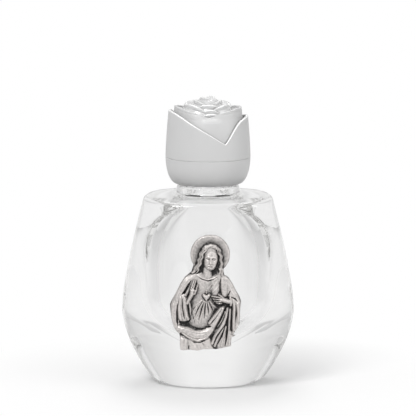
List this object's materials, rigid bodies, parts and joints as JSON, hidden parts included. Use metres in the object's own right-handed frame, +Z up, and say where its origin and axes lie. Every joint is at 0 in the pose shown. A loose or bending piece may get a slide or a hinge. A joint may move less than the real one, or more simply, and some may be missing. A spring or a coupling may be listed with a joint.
{
  "type": "holy water bottle",
  "caption": "Small heavy clear-glass bottle with a rose-shaped screw cap and a cast relief plaque of a haloed figure on its front, for keeping and pouring holy water.",
  "frame": {"origin": "middle of the glass foot, on the plane it stands on", "axes": "+Z up along the neck and the cap's screw axis, -Y to the front where the plaque is, +X to the viewer's right"},
  "size_m": [0.0554, 0.0399, 0.0925],
  "materials": {
    "clear_glass": "clear, polished, heavy walled",
    "antique_silver": "cast silver-coloured alloy with darkened recesses and worn bright ridges",
    "foam_tape": "white double-sided foam",
    "seal_plastic": "soft white foam disc",
    "insert_plastic": "plain moulded, pale grey",
    "frosted_plastic": "frosted satin, pale grey",
    "polished_plastic": "frosted at the sides and polished on the petals' tops"
  },
  "bodies": {
    "bottle": {"glass_bottle": "clear_glass", "plaque": "antique_silver", "adhesive_pad": "foam_tape"},
    "seal": {"sealing_disc": "seal_plastic"},
    "cap": {"screw_insert": "insert_plastic", "cap_cup": "frosted_plastic", "petal_shell": "frosted_plastic", "rose_core": "polished_plastic"}
  },
  "joints": [
    {"name": "cap_lift", "type": "slide", "parent": "bottle", "child": "seal", "axis": [0, 0, 1], "range_m": [0, 0.0191]},
    {"name": "cap_turn", "type": "hinge", "parent": "seal", "child": "cap", "pos_m": [0, 0, 0.0743], "axis": [0, 0, 1], "range_deg": [0, 2160]}
  ],
  "couplings": [
    {"joint": "cap_lift", "follows": "cap_turn", "m_per_rad": 0.00050532}
  ]
}
